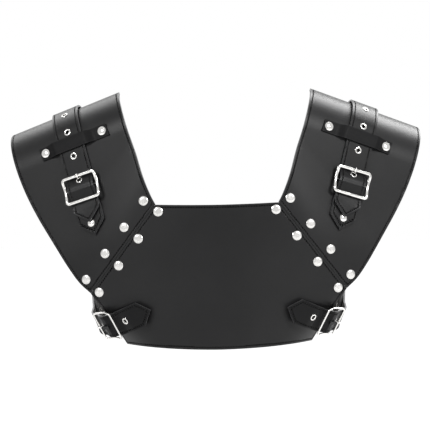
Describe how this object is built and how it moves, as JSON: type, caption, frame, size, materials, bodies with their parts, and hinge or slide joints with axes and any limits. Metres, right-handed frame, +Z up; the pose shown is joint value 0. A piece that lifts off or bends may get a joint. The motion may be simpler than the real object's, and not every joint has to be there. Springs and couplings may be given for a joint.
{
  "type": "leather chest harness",
  "caption": "Black leather chest harness with a curved breast panel, riveted shoulder panels, a back panel and buckled shoulder and side straps.",
  "frame": {"origin": "middle of the neck opening at shoulder height, where the wearer's shoulders carry the harness", "axes": "front faces -Y, +Z up, +X to the right as seen from the front; metres"},
  "size_m": [0.5018, 0.232, 0.3105],
  "materials": {
    "black_leather": "semi-gloss",
    "nickel_fittings": "polished"
  },
  "bodies": {
    "harness": {"chest_panel": "black_leather", "back_panel": "black_leather", "shoulder_panel_left": "black_leather", "seam_strip_left": "black_leather", "shoulder_strap_left": "black_leather", "side_strap_left": "black_leather", "shoulder_chape_left": "black_leather", "side_chape_left": "black_leather", "keeper_left": "black_leather", "shoulder_panel_right": "black_leather", "seam_strip_right": "black_leather", "shoulder_strap_right": "black_leather", "side_strap_right": "black_leather", "shoulder_chape_right": "black_leather", "side_chape_right": "black_leather", "keeper_right": "black_leather", "chest_rivet_left_1": "nickel_fittings", "chest_rivet_left_2": "nickel_fittings", "chest_rivet_left_3": "nickel_fittings", "chest_rivet_left_4": "nickel_fittings", "shoulder_rivet_left_1": "nickel_fittings", "shoulder_rivet_left_2": "nickel_fittings", "shoulder_rivet_left_3": "nickel_fittings", "shoulder_rivet_left_4": "nickel_fittings", "keeper_rivet_left_inner": "nickel_fittings", "keeper_rivet_left_outer": "nickel_fittings", "shoulder_chape_rivet_left": "nickel_fittings", "side_chape_rivet_left": "nickel_fittings", "shoulder_strap_rivet_left": "nickel_fittings", "side_strap_rivet_left": "nickel_fittings", "shoulder_prong_eyelet_left": "nickel_fittings", "shoulder_eyelet_left": "nickel_fittings", "side_prong_eyelet_left": "nickel_fittings", "side_eyelet_left": "nickel_fittings", "chest_rivet_right_1": "nickel_fittings", "chest_rivet_right_2": "nickel_fittings", "chest_rivet_right_3": "nickel_fittings", "chest_rivet_right_4": "nickel_fittings", "shoulder_rivet_right_1": "nickel_fittings", "shoulder_rivet_right_2": "nickel_fittings", "shoulder_rivet_right_3": "nickel_fittings", "shoulder_rivet_right_4": "nickel_fittings", "keeper_rivet_right_inner": "nickel_fittings", "keeper_rivet_right_outer": "nickel_fittings", "shoulder_chape_rivet_right": "nickel_fittings", "side_chape_rivet_right": "nickel_fittings", "shoulder_strap_rivet_right": "nickel_fittings", "side_strap_rivet_right": "nickel_fittings", "shoulder_prong_eyelet_right": "nickel_fittings", "shoulder_eyelet_right": "nickel_fittings", "side_prong_eyelet_right": "nickel_fittings", "side_eyelet_right": "nickel_fittings"},
    "shoulder_frame_left": {"shoulder_buckle_left": "nickel_fittings"},
    "shoulder_tongue_left": {"shoulder_prong_left": "nickel_fittings"},
    "shoulder_frame_right": {"shoulder_buckle_right": "nickel_fittings"},
    "shoulder_tongue_right": {"shoulder_prong_right": "nickel_fittings"},
    "side_frame_left": {"side_buckle_left": "nickel_fittings"},
    "side_tongue_left": {"side_prong_left": "nickel_fittings"},
    "side_frame_right": {"side_buckle_right": "nickel_fittings"},
    "side_tongue_right": {"side_prong_right": "nickel_fittings"}
  },
  "joints": [
    {"name": "shoulder_frame_rock_left", "type": "hinge", "parent": "harness", "child": "shoulder_frame_left", "pos_m": [-0.16103, -0.07734, -0.11119], "axis": [0.9032, -0.3267, 0.2785], "range_deg": [-3, 3]},
    {"name": "shoulder_prong_lift_left", "type": "hinge", "parent": "shoulder_frame_left", "child": "shoulder_tongue_left", "pos_m": [-0.16103, -0.07734, -0.11119], "axis": [0.9032, -0.3267, 0.2785], "range_deg": [0, 6]},
    {"name": "shoulder_frame_rock_right", "type": "hinge", "parent": "harness", "child": "shoulder_frame_right", "pos_m": [0.16103, -0.07734, -0.11119], "axis": [0.9032, 0.3267, -0.2785], "range_deg": [-3, 3]},
    {"name": "shoulder_prong_lift_right", "type": "hinge", "parent": "shoulder_frame_right", "child": "shoulder_tongue_right", "pos_m": [0.16103, -0.07734, -0.11119], "axis": [0.9032, 0.3267, -0.2785], "range_deg": [0, 6]},
    {"name": "side_frame_rock_left", "type": "hinge", "parent": "harness", "child": "side_frame_left", "pos_m": [-0.13127, -0.0719, -0.27542], "axis": [-0.4187, -0.3212, 0.8494], "range_deg": [-3, 3]},
    {"name": "side_prong_lift_left", "type": "hinge", "parent": "side_frame_left", "child": "side_tongue_left", "pos_m": [-0.13127, -0.0719, -0.27542], "axis": [-0.4187, -0.3212, 0.8494], "range_deg": [0, 6]},
    {"name": "side_frame_rock_right", "type": "hinge", "parent": "harness", "child": "side_frame_right", "pos_m": [0.13127, -0.0719, -0.27542], "axis": [-0.4187, 0.3212, -0.8494], "range_deg": [-3, 3]},
    {"name": "side_prong_lift_right", "type": "hinge", "parent": "side_frame_right", "child": "side_tongue_right", "pos_m": [0.13127, -0.0719, -0.27542], "axis": [-0.4187, 0.3212, -0.8494], "range_deg": [0, 6]}
  ]
}
